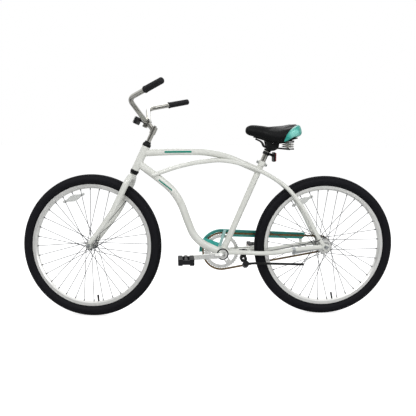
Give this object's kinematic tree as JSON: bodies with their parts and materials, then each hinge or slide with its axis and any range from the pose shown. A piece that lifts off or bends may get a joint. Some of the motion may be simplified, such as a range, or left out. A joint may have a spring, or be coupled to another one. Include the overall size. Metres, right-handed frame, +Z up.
{
  "type": "beach cruiser bicycle",
  "caption": "Beach cruiser bicycle with arched frame tubes, wide tyres, swept handlebar, sprung saddle, chain guard, kickstand and coaster brake",
  "frame": {"origin": "rear tyre's contact point on the floor, in the frame's middle plane", "axes": "+X to the rear of the bicycle, +Y to the drive side (rider's right), +Z up; the front wheel is at -X"},
  "size_m": [1.7598, 0.6711, 1.0892],
  "materials": {
    "frame_white": "gloss white paint",
    "teal_paint": "gloss teal paint",
    "black_paint": "satin black paint",
    "chrome": "polished chrome plate",
    "steel": "zinc plated steel",
    "bronze_chain": "bronze tinted steel",
    "rim_silver": "pale satin rim",
    "tyre": "matt black rubber with tread",
    "tube_rubber": "soft black rubber",
    "grip_rubber": "ribbed black rubber",
    "black_plastic": "matt black plastic",
    "clear_lens": "clear reflector plastic",
    "red_lens": "red reflector plastic",
    "amber_lens": "amber reflector plastic",
    "saddle_black": "black padded vinyl",
    "saddle_teal": "teal padded vinyl"
  },
  "bodies": {
    "frame": {"head_tube": "frame_white", "top_tube": "frame_white", "down_tube": "frame_white", "seat_tube": "frame_white", "bottom_bracket_shell": "frame_white", "chain_stays": "frame_white", "seat_stays": "frame_white", "rear_dropouts": "frame_white", "headset_cups": "chrome", "bottom_bracket_cups": "steel", "bearing_balls": "steel", "seat_clamp": "frame_white", "chain_guard": "teal_paint", "chain_guard_brackets": "frame_white", "kickstand_bracket": "black_paint", "rear_axle": "steel", "rear_axle_nuts": "steel", "brake_arm": "steel", "chain": "bronze_chain"},
    "seat_post": {"seat_post": "chrome", "saddle_clamp": "black_paint", "rear_reflector": "red_lens", "rear_reflector_bracket": "black_plastic"},
    "saddle": {"saddle_rails": "black_paint", "saddle_springs": "chrome", "saddle_base": "black_plastic", "saddle_cover": "saddle_black", "saddle_panels": "saddle_teal"},
    "steering": {"fork_steerer": "frame_white", "fork_blades": "frame_white", "fork_dropouts": "frame_white", "headset_locknut": "black_paint", "stem": "chrome", "front_axle": "steel", "front_axle_nuts": "steel"},
    "handlebar": {"handlebar": "chrome", "handlebar_grips": "grip_rubber", "front_reflector": "clear_lens", "front_reflector_bracket": "black_plastic"},
    "front_wheel": {"front_tyre": "tyre", "front_inner_tube": "tube_rubber", "front_rim": "rim_silver", "front_spokes": "steel", "front_hub": "chrome", "front_wheel_reflector": "clear_lens"},
    "rear_wheel": {"rear_tyre": "tyre", "rear_inner_tube": "tube_rubber", "rear_rim": "rim_silver", "rear_spokes": "steel", "rear_hub": "chrome", "rear_wheel_reflector": "clear_lens"},
    "driver": {"rear_sprocket": "steel"},
    "crank": {"crank": "chrome", "chainring": "steel"},
    "pedal_left": {"pedal_left": "grip_rubber", "pedal_left_reflectors": "amber_lens"},
    "pedal_right": {"pedal_right": "grip_rubber", "pedal_right_reflectors": "amber_lens"},
    "kickstand": {"kickstand_leg": "black_paint"}
  },
  "joints": [
    {"name": "steering_turn", "type": "hinge", "parent": "frame", "child": "steering", "pos_m": [-0.86927, 0, 0.74414], "axis": [0.4195, 0, 0.9078], "range_deg": [-68.2, 91.8]},
    {"name": "handlebar_roll", "type": "hinge", "parent": "steering", "child": "handlebar", "pos_m": [-0.84135, 0.00941, 0.9119], "axis": [0.1856, 0.9789, -0.0858], "range_deg": [-15, 15]},
    {"name": "front_wheel_spin", "type": "hinge", "parent": "steering", "child": "front_wheel", "pos_m": [-1.09929, 0.00757, 0.33267], "axis": [0.1856, 0.9789, -0.0858], "continuous": true},
    {"name": "rear_wheel_spin", "type": "hinge", "parent": "frame", "child": "rear_wheel", "pos_m": [0, 0, 0.333], "axis": [0, 1, 0], "continuous": true},
    {"name": "crank_spin", "type": "hinge", "parent": "frame", "child": "crank", "pos_m": [-0.48511, 0, 0.296], "axis": [0, 1, 0], "continuous": true},
    {"name": "driver_spin", "type": "hinge", "parent": "frame", "child": "driver", "pos_m": [0, 0, 0.333], "axis": [0, 1, 0], "continuous": true},
    {"name": "pedal_left_spin", "type": "hinge", "parent": "crank", "child": "pedal_left", "pos_m": [-0.6599, 0, 0.28745], "axis": [0, 1, 0], "continuous": true},
    {"name": "pedal_right_spin", "type": "hinge", "parent": "crank", "child": "pedal_right", "pos_m": [-0.31032, 0, 0.30455], "axis": [0, 1, 0], "continuous": true},
    {"name": "kickstand_swing", "type": "hinge", "parent": "frame", "child": "kickstand", "pos_m": [-0.37411, -0.03, 0.247], "axis": [0, 0.9272, -0.3746], "range_deg": [0, 95]},
    {"name": "seat_height", "type": "slide", "parent": "frame", "child": "seat_post", "axis": [0.3907, 0, 0.9205], "range_m": [-0.022, 0.06]},
    {"name": "saddle_tilt", "type": "hinge", "parent": "seat_post", "child": "saddle", "pos_m": [-0.27334, 0, 0.79491], "axis": [0, 1, 0], "range_deg": [-12, 12]}
  ],
  "couplings": [
    {"joint": "driver_spin", "follows": "crank_spin", "ratio": 2.4444}
  ]
}
